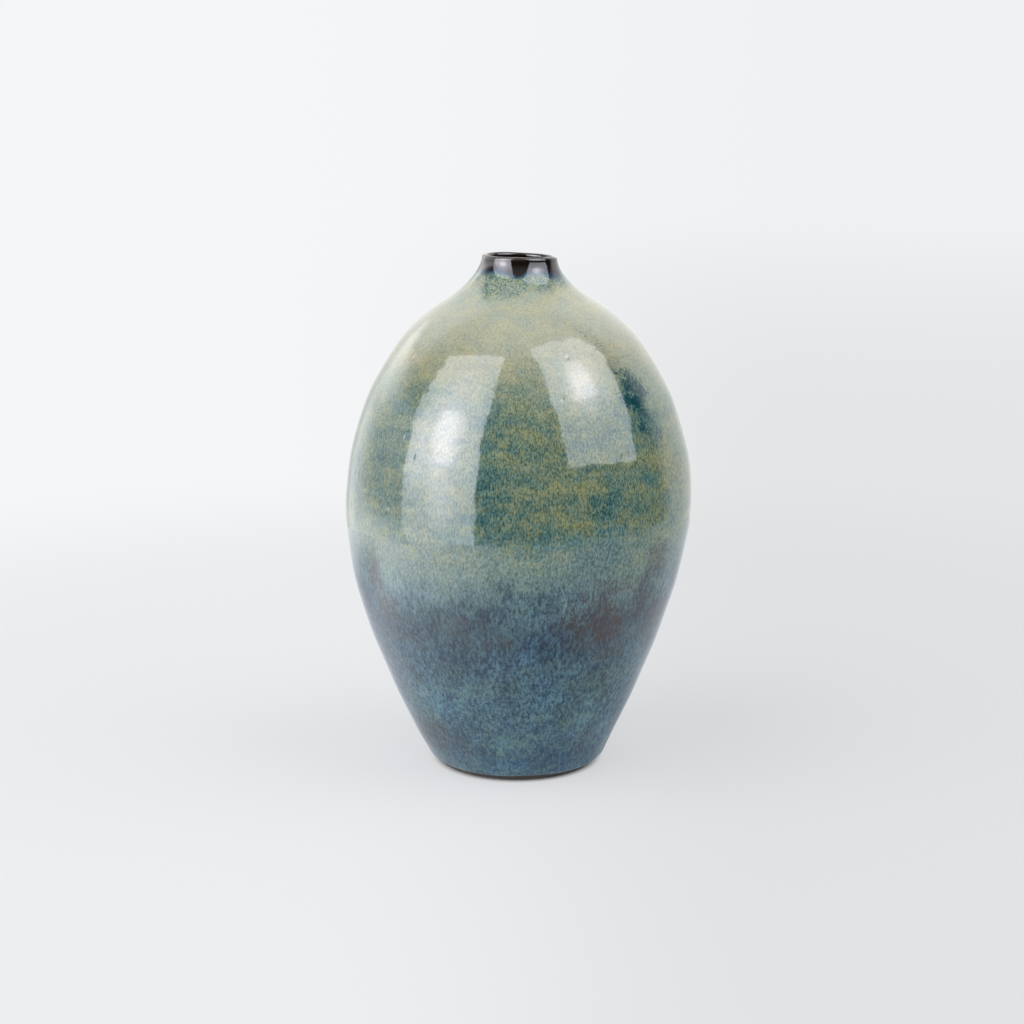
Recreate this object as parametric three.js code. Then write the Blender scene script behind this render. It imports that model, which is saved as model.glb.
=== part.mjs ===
// Ceramic bud vase: one wheel-thrown stoneware pot and the glaze coats fired onto it.
// Millimetres, +Z up. The origin is the middle of the foot, on the surface that the vase stands on.

import * as THREE from 'three';

// Driving dimensions of the finished pot, over the glaze.
const HEIGHT = 200;
const BELLY_RADIUS = 67.5;
const BELLY_HEIGHT = 105.9;
const SHOULDER_RADIUS = 28; // where the rounded shoulder turns into the hollow curve of the neck
const SHOULDER_HEIGHT = 183.6;
const LIP_RADIUS = 14.5;
const LIP_THICKNESS = 2.2;
const FLANK_FOOT_RADIUS = 34.5; // where the glaze stops above the foot
const GLAZE_LINE_HEIGHT = 2.4;

// How the outline leans and how far each curve pulls on its ends.
const FLANK_LEAN = THREE.MathUtils.degToRad(64.2); // above the horizontal, at the foot
const SHOULDER_SLOPE = THREE.MathUtils.degToRad(30.4);
const NECK_LEAN = THREE.MathUtils.degToRad(85);
const FLANK_PULL = 20;
const UNDER_BELLY_PULL = 38;
const OVER_BELLY_PULL = 22;
const SHOULDER_PULL = 32.9;
const NECK_ROOT_PULL = 3;
const LIP_PULL = 6.7;

// The clay wall thins from the foot to the lip, and a glaze coat covers it on both sides.
const FOOT_WALL = 6.5;
const GLAZE_THICKNESS = 0.6;
const FLOOR_TOP = 8.6;
const FLOOR_START_HEIGHT = 16; // the inside wall stops here and the floor's curve begins
const FLOOR_WALL_PULL = 8;
const FLOOR_CENTRE_PULL = 20;

// The trimmed foot ring.
const FOOT_CONTACT_RADIUS = 30;
const FOOT_RING_INNER_RADIUS = 25.5;
const FOOT_RECESS_RADIUS = 24;
const FOOT_RECESS_DEPTH = 3;

// Where one glaze coat stops and the next starts.
const BLUE_TO_RUTILE_HEIGHT = 47; // the rutile coat thins over the blue and ends here
const RUTILE_TO_RIM_HEIGHT = 192.5;
const RIM_TO_LINER_HEIGHT = 190; // inside the throat

// How finely the shapes are cut.
const TURN_STEPS = 40;
const FLANK_STEPS = 10;
const SHOULDER_STEPS = 9;
const NECK_STEPS = 6;
const LIP_STEPS = 4;
const FLOOR_STEPS = 4;
const FOOT_EDGE_STEPS = 3;

const point = (radius, height) => new THREE.Vector2(radius, height);

// The point a given distance from another one, at an angle above the outward horizontal.
const stepFrom = (start, distance, angle) =>
  point(start.x + distance * Math.cos(angle), start.y + distance * Math.sin(angle));

// Points of several curves that meet end to end, with each meeting point listed once.
function joinCurves(...stretches) {
  const points = [];
  for (const [curve, steps] of stretches) {
    points.push(...curve.getPoints(steps).slice(points.length > 0 ? 1 : 0));
  }
  return points;
}

// The finished outer outline: flank, shoulder and neck, from the glaze line up to the lip.
function outerOutline() {
  const flankFoot = point(FLANK_FOOT_RADIUS, GLAZE_LINE_HEIGHT);
  const belly = point(BELLY_RADIUS, BELLY_HEIGHT);
  const neckRoot = point(SHOULDER_RADIUS, SHOULDER_HEIGHT);
  const lip = point(LIP_RADIUS, HEIGHT - LIP_THICKNESS / 2);
  const flank = new THREE.CubicBezierCurve(
    flankFoot,
    stepFrom(flankFoot, FLANK_PULL, FLANK_LEAN),
    point(BELLY_RADIUS, BELLY_HEIGHT - UNDER_BELLY_PULL),
    belly,
  );
  const shoulder = new THREE.CubicBezierCurve(
    belly,
    point(BELLY_RADIUS, BELLY_HEIGHT + OVER_BELLY_PULL),
    stepFrom(neckRoot, SHOULDER_PULL, -SHOULDER_SLOPE),
    neckRoot,
  );
  const neck = new THREE.CubicBezierCurve(
    neckRoot,
    stepFrom(neckRoot, NECK_ROOT_PULL, Math.PI - SHOULDER_SLOPE),
    stepFrom(lip, LIP_PULL, -NECK_LEAN),
    lip,
  );
  return joinCurves([flank, FLANK_STEPS], [shoulder, SHOULDER_STEPS], [neck, NECK_STEPS]);
}

// The unit normal on the right-hand side of an outline at one of its points. An outline that ends
// on the axis meets it square, so its normal there is upright.
function normalAt(outline, index) {
  if (outline[index].x === 0) return point(0, 1);
  const before = outline[Math.max(index - 1, 0)];
  const after = outline[Math.min(index + 1, outline.length - 1)];
  const along = after.clone().sub(before).normalize();
  return point(along.y, -along.x);
}

// The outline moved into the clay by a depth that may change with height.
const inset = (outline, depthAt) =>
  outline.map((p, i) => p.clone().addScaledVector(normalAt(outline, i), -depthAt(p.y)));

const wallAt = (height) => THREE.MathUtils.lerp(FOOT_WALL, LIP_THICKNESS, height / HEIGHT);

// The rounded lip, over the top from the outside to the inside of the neck.
function lipOutline() {
  const half = LIP_THICKNESS / 2;
  return new THREE.EllipseCurve(LIP_RADIUS - half, HEIGHT - half, half, half, 0, Math.PI)
    .getPoints(LIP_STEPS);
}

// The finished inner outline, from the lip down the throat and the wall to the middle of the floor.
function innerOutline(outside) {
  const wall = inset(outside, wallAt)
    .filter((p) => p.y > FLOOR_START_HEIGHT)
    .reverse()
    .slice(1);
  const wallEnd = wall[wall.length - 1];
  const wallAbove = wall[wall.length - 2];
  const downWall = wallEnd.clone().sub(wallAbove).normalize();
  const floor = new THREE.CubicBezierCurve(
    wallEnd,
    wallEnd.clone().addScaledVector(downWall, FLOOR_WALL_PULL),
    point(FLOOR_CENTRE_PULL, FLOOR_TOP),
    point(0, FLOOR_TOP),
  );
  return [...wall, ...floor.getPoints(FLOOR_STEPS).slice(1)];
}

// The whole glazed skin in one run: up the outside, over the lip, and down to the floor's middle.
const outside = outerOutline();
const overLip = lipOutline();
const glazeSkin = [...outside, ...overLip.slice(1), ...innerOutline(outside)];
const claySkin = inset(glazeSkin, () => GLAZE_THICKNESS);
const firstInside = outside.length + overLip.length - 1;

// The trimmed foot, from the axis under the pot out to the glaze line.
function footOutline() {
  const glazeLine = claySkin[0];
  const edge = new THREE.QuadraticBezierCurve(
    point(FOOT_CONTACT_RADIUS, 0),
    point(glazeLine.x - glazeLine.y / Math.tan(FLANK_LEAN), 0),
    glazeLine,
  );
  return [
    point(0, FOOT_RECESS_DEPTH),
    point(FOOT_RECESS_RADIUS, FOOT_RECESS_DEPTH),
    point(FOOT_RING_INNER_RADIUS, 0),
    ...edge.getPoints(FOOT_EDGE_STEPS).slice(0, -1),
  ];
}

// The place in the skin, on its way up the outside or down the inside, nearest to a height.
function skinIndex(height, from, to) {
  let nearest = from;
  for (let i = from; i < to; i += 1) {
    const gap = Math.abs(glazeSkin[i].y - height);
    if (gap < Math.abs(glazeSkin[nearest].y - height)) nearest = i;
  }
  return nearest;
}

// One glaze coat: the shell between the clay and the glaze surface along a run of the skin.
function coatOutline(start, end) {
  const surface = glazeSkin.slice(start, end + 1);
  const backing = claySkin.slice(start, end + 1).reverse();
  const meetsAxis = surface[surface.length - 1].x === 0;
  if (meetsAxis) return [...backing, ...surface];
  return [...surface, ...backing, surface[0]];
}

// A named solid of revolution. The outline is given in radius and height.
function turned(name, outline, material) {
  const geometry = new THREE.LatheGeometry(outline, TURN_STEPS);
  geometry.rotateX(Math.PI / 2);
  const mesh = new THREE.Mesh(geometry, material);
  mesh.name = name;
  return mesh;
}

const fired = (color, roughness) =>
  new THREE.MeshStandardMaterial({ color, roughness, metalness: 0 });

const blueToRutile = skinIndex(BLUE_TO_RUTILE_HEIGHT, 0, outside.length);
const rutileToRim = skinIndex(RUTILE_TO_RIM_HEIGHT, 0, outside.length);
const rimToLiner = skinIndex(RIM_TO_LINER_HEIGHT, firstInside, glazeSkin.length);
const floorMiddle = glazeSkin.length - 1;

const vase = new THREE.Group();
vase.add(
  turned('stoneware_body', [...footOutline(), ...claySkin], fired(0x5d4a3f, 0.85)),
  turned('lower_blue_glaze', coatOutline(0, blueToRutile), fired(0x4d6577, 0.18)),
  turned('upper_rutile_glaze', coatOutline(blueToRutile, rutileToRim), fired(0x7d8a68, 0.16)),
  turned('dark_rim_glaze', coatOutline(rutileToRim, rimToLiner), fired(0x1f1a17, 0.15)),
  turned('inside_liner_glaze', coatOutline(rimToLiner, floorMiddle), fired(0x3a4440, 0.25)),
);

export default vase;
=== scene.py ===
"""The looks of a wheel-thrown ceramic bud vase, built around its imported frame. Metres, +Z up.

The pot is one surface of revolution that a thrower's hands have left a little uneven. Every piece
takes a run of that surface: the clay under it, and the glaze coats on it.
"""

import math

import bpy
import numpy as np
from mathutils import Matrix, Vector


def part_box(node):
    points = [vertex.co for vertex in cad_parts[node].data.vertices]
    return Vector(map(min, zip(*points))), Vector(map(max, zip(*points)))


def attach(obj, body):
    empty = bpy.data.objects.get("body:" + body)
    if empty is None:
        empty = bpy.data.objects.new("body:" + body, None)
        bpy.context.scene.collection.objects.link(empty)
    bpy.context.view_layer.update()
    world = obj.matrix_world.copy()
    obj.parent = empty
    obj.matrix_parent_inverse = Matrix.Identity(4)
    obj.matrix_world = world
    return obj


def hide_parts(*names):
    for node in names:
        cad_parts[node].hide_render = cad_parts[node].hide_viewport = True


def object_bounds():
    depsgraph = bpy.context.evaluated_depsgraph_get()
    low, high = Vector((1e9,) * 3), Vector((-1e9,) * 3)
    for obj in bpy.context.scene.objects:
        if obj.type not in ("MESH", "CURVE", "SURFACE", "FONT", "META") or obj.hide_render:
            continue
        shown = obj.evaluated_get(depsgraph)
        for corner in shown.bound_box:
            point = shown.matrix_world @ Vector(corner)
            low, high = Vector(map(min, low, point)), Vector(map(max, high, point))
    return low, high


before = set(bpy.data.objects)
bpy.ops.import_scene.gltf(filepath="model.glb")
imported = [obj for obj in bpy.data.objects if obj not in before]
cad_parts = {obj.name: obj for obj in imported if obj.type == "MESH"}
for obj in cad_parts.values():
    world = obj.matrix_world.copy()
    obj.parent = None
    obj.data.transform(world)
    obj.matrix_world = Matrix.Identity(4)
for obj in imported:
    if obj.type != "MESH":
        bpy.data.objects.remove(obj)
cad_low, cad_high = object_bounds()

MM = 0.001

# The finished pot, over the glaze.
HEIGHT = cad_high.z
BELLY_RADIUS = cad_high.x
BELLY_HEIGHT = 105.9 * MM
SHOULDER_RADIUS = 28 * MM
SHOULDER_HEIGHT = 183.6 * MM
LIP_RADIUS = 14.5 * MM
LIP_THICKNESS = 2.2 * MM
FLANK_FOOT_RADIUS = 34.5 * MM
GLAZE_LINE_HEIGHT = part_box("lower_blue_glaze")[0].z

# How the outline leans and how far each curve pulls on its ends.
FLANK_LEAN = math.radians(64.2)
SHOULDER_SLOPE = math.radians(30.4)
NECK_LEAN = math.radians(85)
FLANK_PULL = 20 * MM
UNDER_BELLY_PULL = 38 * MM
OVER_BELLY_PULL = 22 * MM
SHOULDER_PULL = 32.9 * MM
NECK_ROOT_PULL = 3 * MM
LIP_PULL = 6.7 * MM

# Wall, floor and trimmed foot.
FOOT_WALL = 6.5 * MM
GLAZE_THICKNESS = 0.6 * MM
FLOOR_TOP = 8.6 * MM
FLOOR_START_HEIGHT = 16 * MM
FLOOR_WALL_PULL = 8 * MM
FLOOR_CENTRE_PULL = 20 * MM
FOOT_CONTACT_RADIUS = 30 * MM
FOOT_RING_INNER_RADIUS = 25.5 * MM
FOOT_RECESS_RADIUS = 24 * MM
FOOT_RECESS_DEPTH = 3 * MM
FOOT_EDGE_ROUND = 0.6 * MM

# Where one coat stops and the next starts.
BLUE_TO_RUTILE_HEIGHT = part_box("upper_rutile_glaze")[0].z
RUTILE_TO_RIM_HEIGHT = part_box("upper_rutile_glaze")[1].z
RIM_TO_LINER_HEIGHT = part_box("inside_liner_glaze")[1].z

# How finely the surfaces are cut.
COLUMNS = 460
COARSE_COLUMNS = 115
OUTSIDE_ROW = 0.9 * MM
LIP_ROW = 0.35 * MM
INSIDE_ROW = 1.6 * MM
FOOT_ROW = 0.35 * MM
BACK_ROW = 5 * MM
HIDDEN_CLAY_ROW = 3 * MM
CURVE_STEPS = 400
LIP_STEPS = 60
DISC_SIDES = 96


# ---------------------------------------------------------------- the outline

def bezier(start, start_pull, end_pull, end):
    """Points of a cubic curve, as rows of radius and height."""
    t = np.linspace(0, 1, CURVE_STEPS + 1)[:, None]
    a, b, c, d = (np.array(p, float) for p in (start, start_pull, end_pull, end))
    return a * (1 - t) ** 3 + 3 * b * t * (1 - t) ** 2 + 3 * c * t**2 * (1 - t) + d * t**3


def step_from(start, distance, angle):
    """The point at a distance from another one, at an angle above the outward horizontal."""
    return (start[0] + distance * math.cos(angle), start[1] + distance * math.sin(angle))


def joined(*stretches):
    """Curves that meet end to end, with each meeting point listed once."""
    return np.vstack([stretches[0], *[s[1:] for s in stretches[1:]]])


def normals_of(outline):
    """Unit normals on the right-hand side of an outline."""
    along = np.gradient(outline, axis=0)
    along /= np.linalg.norm(along, axis=1)[:, None]
    return np.column_stack([along[:, 1], -along[:, 0]])


def outer_outline():
    """Flank, shoulder and neck, from the glaze line up to the lip."""
    foot = (FLANK_FOOT_RADIUS, GLAZE_LINE_HEIGHT)
    belly = (BELLY_RADIUS, BELLY_HEIGHT)
    neck_root = (SHOULDER_RADIUS, SHOULDER_HEIGHT)
    lip = (LIP_RADIUS, HEIGHT - LIP_THICKNESS / 2)
    flank = bezier(
        foot,
        step_from(foot, FLANK_PULL, FLANK_LEAN),
        (BELLY_RADIUS, BELLY_HEIGHT - UNDER_BELLY_PULL),
        belly,
    )
    shoulder = bezier(
        belly,
        (BELLY_RADIUS, BELLY_HEIGHT + OVER_BELLY_PULL),
        step_from(neck_root, SHOULDER_PULL, -SHOULDER_SLOPE),
        neck_root,
    )
    neck = bezier(
        neck_root,
        step_from(neck_root, NECK_ROOT_PULL, math.pi - SHOULDER_SLOPE),
        step_from(lip, LIP_PULL, -NECK_LEAN),
        lip,
    )
    return joined(flank, shoulder, neck)


def lip_outline():
    """Over the rounded lip, from the outside to the inside of the neck."""
    half = LIP_THICKNESS / 2
    turn = np.linspace(0, math.pi, LIP_STEPS + 1)
    centre = (LIP_RADIUS - half, HEIGHT - half)
    return np.column_stack([centre[0] + half * np.cos(turn), centre[1] + half * np.sin(turn)])


def inner_outline(outside):
    """From the lip down the throat and the wall to the middle of the floor."""
    wall = FOOT_WALL + (LIP_THICKNESS - FOOT_WALL) * outside[:, 1] / HEIGHT
    inside = outside - normals_of(outside) * wall[:, None]
    inside = inside[inside[:, 1] > FLOOR_START_HEIGHT][::-1]
    inside[0] = (LIP_RADIUS - LIP_THICKNESS, HEIGHT - LIP_THICKNESS / 2)
    end = inside[-1]
    down = (end - inside[-2]) / np.linalg.norm(end - inside[-2])
    turn_in = end + down * FLOOR_WALL_PULL
    floor = bezier(end, turn_in, (FLOOR_CENTRE_PULL, FLOOR_TOP), (0, FLOOR_TOP))
    return joined(inside, floor)


def arc_lengths(outline):
    """The distance along an outline from its start to each of its points."""
    gaps = np.linalg.norm(np.diff(outline, axis=0), axis=1)
    return np.concatenate([[0], np.cumsum(gaps)])


OUTSIDE = outer_outline()
SKIN = joined(OUTSIDE, lip_outline(), inner_outline(OUTSIDE))
SKIN_NORMALS = normals_of(SKIN)
SKIN_NORMALS[-1] = (0, 1)
SKIN_ARC = arc_lengths(SKIN)
LIP_START = len(OUTSIDE) - 1
LIP_END = LIP_START + LIP_STEPS


def arc_at(height, inside=False):
    """How far along the skin a height is, on its way up the outside or down the inside."""
    if inside:
        run = slice(LIP_END, len(SKIN))
        return float(np.interp(-height, -SKIN[run, 1], SKIN_ARC[run]))
    return float(np.interp(height, SKIN[: LIP_START + 1, 1], SKIN_ARC[: LIP_START + 1]))


def skin_at(arc):
    """Radius, height, and the normal's two parts, at distances along the skin."""
    values = [SKIN[:, 0], SKIN[:, 1], SKIN_NORMALS[:, 0], SKIN_NORMALS[:, 1]]
    return [np.interp(arc, SKIN_ARC, v) for v in values]


# ---------------------------------------------------------------- what the hands and the fire left

WAVES = 20


def smooth_step(x, low, high):
    """0 below a range and 1 above it, easing from one to the other."""
    t = np.clip((x - low) / (high - low), 0, 1)
    return t * t * (3 - 2 * t)


def ripple(points, wavelength, seed):
    """A smooth random field of one scale, about -1 to 1, the same on every run."""
    rng = np.random.default_rng(seed)
    ways = rng.normal(size=(WAVES, 3))
    ways /= np.linalg.norm(ways, axis=1)[:, None]
    turns = 2 * math.pi / wavelength * rng.uniform(0.75, 1.25, WAVES)
    phases = rng.uniform(0, 2 * math.pi, WAVES)
    total = np.zeros(points.shape[:-1])
    for way, turn, phase in zip(ways, turns, phases):
        total += np.sin(points @ way * turn + phase)
    return total / math.sqrt(WAVES / 2) / 1.6


# The thrower's marks: fine rings that come and go, broader pulls of the clay, and an oval that
# twists as it climbs.
RING_PITCH = 4.6 * MM
RING_DEPTH = 0.016 * MM
RING_PATCH = 60 * MM
PULL_PITCH = 24 * MM
PULL_DEPTH = 0.08 * MM
PULLS_BEGIN = (12 * MM, 40 * MM)
PULLS_END = (168 * MM, 186 * MM)
OUT_OF_ROUND = 0.22 * MM
OVAL_TWIST = 70 * MM
OVAL_BEGINS = (10 * MM, 60 * MM)
DIMPLE_DEPTH = 0.05 * MM
DIMPLE_SIZE = 30 * MM
GLAZE_POOLING = 0.009 * MM
POOLING_SIZE = 5 * MM
RELIEF_BEGINS = 12 * MM
SMOOTHED_INSIDE = 0.4

# The lip's waves and tilt, and how far the axis leans low down and high up.
LIP_WAVE = 0.12 * MM
LIP_LIFT = 0.35 * MM
RIM_TILT = math.radians(1.94)
RIM_DIP = math.radians(1.3)
MOUTH_BEGINS = (180 * MM, 198 * MM)
SWAY_LOW = -0.6 * MM
SWAY_HIGH = 0.95 * MM
SWAY_TURNS = (62 * MM, 122 * MM)
SWAY_BEGINS = 15 * MM


def hand_relief(radius, height, angle):
    """How far the thrown surface stands off a true solid of revolution, along its normal."""
    points = np.stack([radius * np.sin(angle), -radius * np.cos(angle), height], axis=-1)
    climb = height / RING_PITCH + angle / (2 * math.pi)
    uneven = 0.6 + 0.5 * ripple(points, RING_PATCH, 11)
    rings = RING_DEPTH * np.sin(2 * math.pi * climb) * uneven
    pulls = PULL_DEPTH * np.sin(2 * math.pi * height / PULL_PITCH + 0.7 + 0.25 * np.sin(angle))
    pulls *= smooth_step(height, *PULLS_BEGIN) * (1 - smooth_step(height, *PULLS_END))
    oval = OUT_OF_ROUND * np.cos(2 * angle + 0.8 + height / OVAL_TWIST)
    oval *= smooth_step(radius, *OVAL_BEGINS)
    dimples = DIMPLE_DEPTH * ripple(points, DIMPLE_SIZE, 12)
    pooling = GLAZE_POOLING * ripple(points * (1, 1, 0.6), POOLING_SIZE, 13)
    return rings + pulls + oval + dimples + pooling


def leaned(x, y, z, angle):
    """The pot's slight lean, and its mouth, which isn't quite level."""
    sway = SWAY_LOW + (SWAY_HIGH - SWAY_LOW) * smooth_step(z, *SWAY_TURNS)
    sway = sway * smooth_step(z, 0, SWAY_BEGINS)
    mouth = smooth_step(z, *MOUTH_BEGINS)
    wave = LIP_WAVE * np.sin(2 * angle + 0.5) + 0.5 * LIP_WAVE * np.sin(5 * angle + 2.1)
    rise = mouth * (wave + LIP_LIFT - x * math.tan(RIM_TILT) - y * math.tan(RIM_DIP))
    return x + sway, y, z + rise


def surface(arc, angle, depth=0.0):
    """Points of the pot's glazed skin, or at a depth under it.

    Arc and angle are arrays of one shape.
    """
    radius, height, out, up = skin_at(arc)
    relief = hand_relief(radius, height, angle)
    relief *= smooth_step(radius, 0, RELIEF_BEGINS)
    inside = smooth_step(arc, SKIN_ARC[LIP_START], SKIN_ARC[LIP_END])
    relief *= 1 - SMOOTHED_INSIDE * inside
    r = radius + out * (relief - depth)
    z = height + up * (relief - depth)
    return np.stack(leaned(r * np.sin(angle), -r * np.cos(angle), z, angle), axis=-1)


def angles(columns):
    """Even steps of a whole turn. Angle 0 faces the viewer, and a quarter turn is +X."""
    return np.arange(columns) * (2 * math.pi / columns)


def grid_normals(points):
    """Unit normals of a grid that is closed round its columns, from its neighbours each way."""
    round_it = np.roll(points, -1, axis=1) - np.roll(points, 1, axis=1)
    up_it = np.gradient(points, axis=0)
    normals = np.cross(round_it, up_it)
    return normals / np.linalg.norm(normals, axis=-1)[..., None]


# ---------------------------------------------------------------- meshes

def add_to_scene(name, data):
    thing = bpy.data.objects.new(name, data)
    bpy.context.scene.collection.objects.link(thing)
    return thing


class MeshParts:
    """Vertices and faces collected for one closed mesh."""

    def __init__(self):
        self.points = []
        self.faces = []
        self.count = 0

    def add_grid(self, points):
        """Adds rows of points that close round the pot. Returns their numbers, row by row."""
        rows, columns = points.shape[:2]
        numbers = np.arange(rows * columns).reshape(rows, columns) + self.count
        self.points.append(points.reshape(-1, 3))
        self.count += rows * columns
        return numbers

    def add_point(self, point):
        self.points.append(np.array(point, float).reshape(1, 3))
        self.count += 1
        return self.count - 1

    def skin_grid(self, numbers):
        """Four-sided faces between neighbouring rows, facing the side that the rows climb."""
        low, high = numbers[:-1], numbers[1:]
        corners = [low, np.roll(low, -1, axis=1), np.roll(high, -1, axis=1), high]
        faces = np.stack(corners, axis=-1)
        self.faces.extend(faces.reshape(-1, 4).tolist())

    def join_rows(self, low, high):
        """Faces between two rows, which may have different numbers of points."""
        parts = min(len(low), len(high))
        for i in range(parts):
            along = run_of(low, i, parts)
            back = run_of(high, i, parts)[::-1]
            self.faces.append([*along, *back])

    def cap(self, row, tip):
        """A fan from a row to one point on the axis, facing the way that a climbing row would."""
        for i in range(len(row)):
            self.faces.append([row[i], row[(i + 1) % len(row)], tip])

    def build(self, name):
        mesh = bpy.data.meshes.new(name)
        mesh.from_pydata(np.vstack(self.points).tolist(), [], self.faces)
        mesh.update()
        mesh.shade_smooth()
        return add_to_scene(name, mesh)


def run_of(row, part, parts):
    """The points of one of a row's equal parts, both ends included."""
    share = len(row) // parts
    return [int(row[(part * share + k) % len(row)]) for k in range(share + 1)]


def set_edge_normals(piece, rows, normals):
    """Gives the fine face's first and last rows their true normals, so coats meet unseen."""
    mesh = piece.data
    columns = rows.shape[1]
    edge_points = {int(n) for n in rows[0]} | {int(n) for n in rows[-1]}
    sharp = [e.vertices[0] in edge_points and e.vertices[1] in edge_points for e in mesh.edges]
    mesh.attributes.new("sharp_edge", "BOOLEAN", "EDGE").data.foreach_set("value", sharp)
    fine_faces = (rows.shape[0] - 1) * columns
    loops = np.zeros(len(mesh.loops), int)
    mesh.loops.foreach_get("vertex_index", loops)
    wanted = np.zeros((len(loops), 3))
    for row, numbers in ((0, rows[0]), (-1, rows[-1])):
        place = {int(n): i for i, n in enumerate(numbers)}
        for k in np.flatnonzero(np.isin(loops[: fine_faces * 4], numbers)):
            wanted[k] = normals[row, place[int(loops[k])]]
    mesh.normals_split_custom_set(wanted.tolist())


# ---------------------------------------------------------------- the pieces

# The wandering lower edge of the glaze and the bead that it rolled into.
GLAZE_LINE_WANDER = 0.45 * MM
WANDER_FADES = 8 * MM
GLAZE_BEAD = 1.3 * MM
BEAD_HEIGHT = 0.46 * MM
BEAD_ROWS = np.array([0, 0.06, 0.16, 0.32, 0.55, 0.85, 1.3]) * MM
FIRST_ROW_PAST_BEAD = 2.2 * MM

PINHOLES = 34
PINHOLE_RADIUS = 0.34 * MM
PINHOLE_DEPTH = 0.16 * MM
PINHOLE_HEIGHTS = (62 * MM, 150 * MM, 180 * MM)  # lowest, most common and highest

# The trimmed foot, and the clay that the glaze hides.
FOOT_KNEE = (1.4 * MM, 0.3 * MM)
FOOT_EDGE_POINTS = 12
RECESS_START = 1 * MM
RECESS_POINTS = 46
RECESS_WALL_LEAN = 0.2 * MM
RECESS_WALL_POINTS = 6
FOOT_FLAT_POINTS = 10
TRIM_PITCH = 1.9 * MM
TRIM_DEPTH = 0.07 * MM
TRIM_FADES = 2 * MM
FINE_CLAY_REACH = 4 * MM
HIDDEN_CLAY_GAP = 2 * MM
CLAY_CLEARANCE = 0.08 * MM
CLEARANCE_BEGINS = (3 * MM, 8 * MM)


def steps_between(start, end, spacing):
    return np.linspace(start, end, max(2, round((end - start) / spacing) + 1))


def glaze_line(angle):
    """How far up the clay the glaze stops, along the skin. It wanders as wax resist does."""
    slow = 0.5 * np.sin(angle * 2 + 4.2) + 0.3 * np.sin(angle * 5 + 1.1)
    return GLAZE_LINE_WANDER * (1 + (slow + 0.2 * np.sin(angle * 11)))


def line_lift(angle, arc, start):
    """How far the skin near the glaze line is moved along itself to follow that line."""
    return glaze_line(angle) * (1 - smooth_step(arc, start, start + WANDER_FADES))


def bead_depth(rise):
    """The rounded edge of the glaze, where it rolled to a stop."""
    left = 1 - np.clip(rise / GLAZE_BEAD, 0, 1)
    return BEAD_HEIGHT * (1 - np.sqrt(1 - left**2))


def pinhole_places():
    """Where gas broke through the glaze: mostly round the belly and the shoulder."""
    rng = np.random.default_rng(5)
    angle = rng.uniform(0, 2 * math.pi, PINHOLES)
    height = rng.triangular(*PINHOLE_HEIGHTS, PINHOLES)
    return list(zip(angle, height))


def prick_pinholes(points, normals, arcs, mark):
    """Pulls the points round each pinhole together and sinks the middle one."""
    columns = points.shape[1]
    for angle, height in pinhole_places():
        arc = arc_at(height)
        row = int(np.argmin(np.abs(arcs - arc)))
        if row < 2 or row > len(arcs) - 3:
            continue
        column = round(angle / (2 * math.pi) * columns) % columns
        middle = points[row, column].copy()
        for i in (-1, 0, 1):
            for j in (-1, 0, 1):
                at = (row + i, (column + j) % columns)
                if i or j:
                    away = points[at] - middle
                    points[at] = middle + away / np.linalg.norm(away) * PINHOLE_RADIUS
        points[row, column] = middle - normals[row, column] * PINHOLE_DEPTH
        mark[row, column] = 1


def glaze_coat(name, start, end, spacing, beaded=False):
    """One closed coat: a fine glazed face, a plain back against the clay, and the two ends."""
    turn, coarse_turn = angles(COLUMNS), angles(COARSE_COLUMNS)
    arcs = steps_between(start, end, spacing)
    if beaded:
        plain = steps_between(start + FIRST_ROW_PAST_BEAD, end, spacing)
        arcs = np.concatenate([start + BEAD_ROWS, plain])
    ghosts = np.concatenate([[arcs[0] - spacing], arcs, [arcs[-1] + spacing]])
    rise = np.repeat(ghosts[:, None], COLUMNS, axis=1)
    depth = 0.0
    if beaded:
        depth = bead_depth(rise - start)
        rise = rise + line_lift(turn, rise, start)
    points = surface(rise, np.broadcast_to(turn, rise.shape), depth)
    normals = grid_normals(points)[1:-1]
    points = points[1:-1]
    mark = np.zeros(points.shape[:2])
    prick_pinholes(points, normals, arcs, mark)

    back_arcs = steps_between(start, end, min(BACK_ROW, (end - start) / 4))[::-1, None]
    back_arcs = np.repeat(back_arcs, COARSE_COLUMNS, axis=1)
    if beaded:
        back_arcs += line_lift(coarse_turn, back_arcs, start)
    back = surface(back_arcs, np.broadcast_to(coarse_turn, back_arcs.shape), GLAZE_THICKNESS)

    parts = MeshParts()
    fine = parts.add_grid(points)
    parts.skin_grid(fine)
    coarse = parts.add_grid(back)
    parts.skin_grid(coarse)
    parts.join_rows(fine[-1], coarse[0])
    parts.join_rows(coarse[-1], fine[0])
    piece = parts.build(name)
    set_edge_normals(piece, fine, normals)
    holes = np.zeros(parts.count)
    holes[: mark.size] = mark.reshape(-1)
    piece.data.attributes.new("pinhole", "FLOAT", "POINT").data.foreach_set("value", holes)
    return piece


def lower_blue_glaze():
    end = arc_at(BLUE_TO_RUTILE_HEIGHT)
    return glaze_coat("lower_blue_coat", 0, end, OUTSIDE_ROW, beaded=True)


def upper_rutile_glaze():
    start, end = arc_at(BLUE_TO_RUTILE_HEIGHT), arc_at(RUTILE_TO_RIM_HEIGHT)
    return glaze_coat("upper_rutile_coat", start, end, OUTSIDE_ROW)


def dark_rim_glaze():
    start, end = arc_at(RUTILE_TO_RIM_HEIGHT), arc_at(RIM_TO_LINER_HEIGHT, inside=True)
    return glaze_coat("dark_rim_coat", start, end, LIP_ROW)


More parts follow.
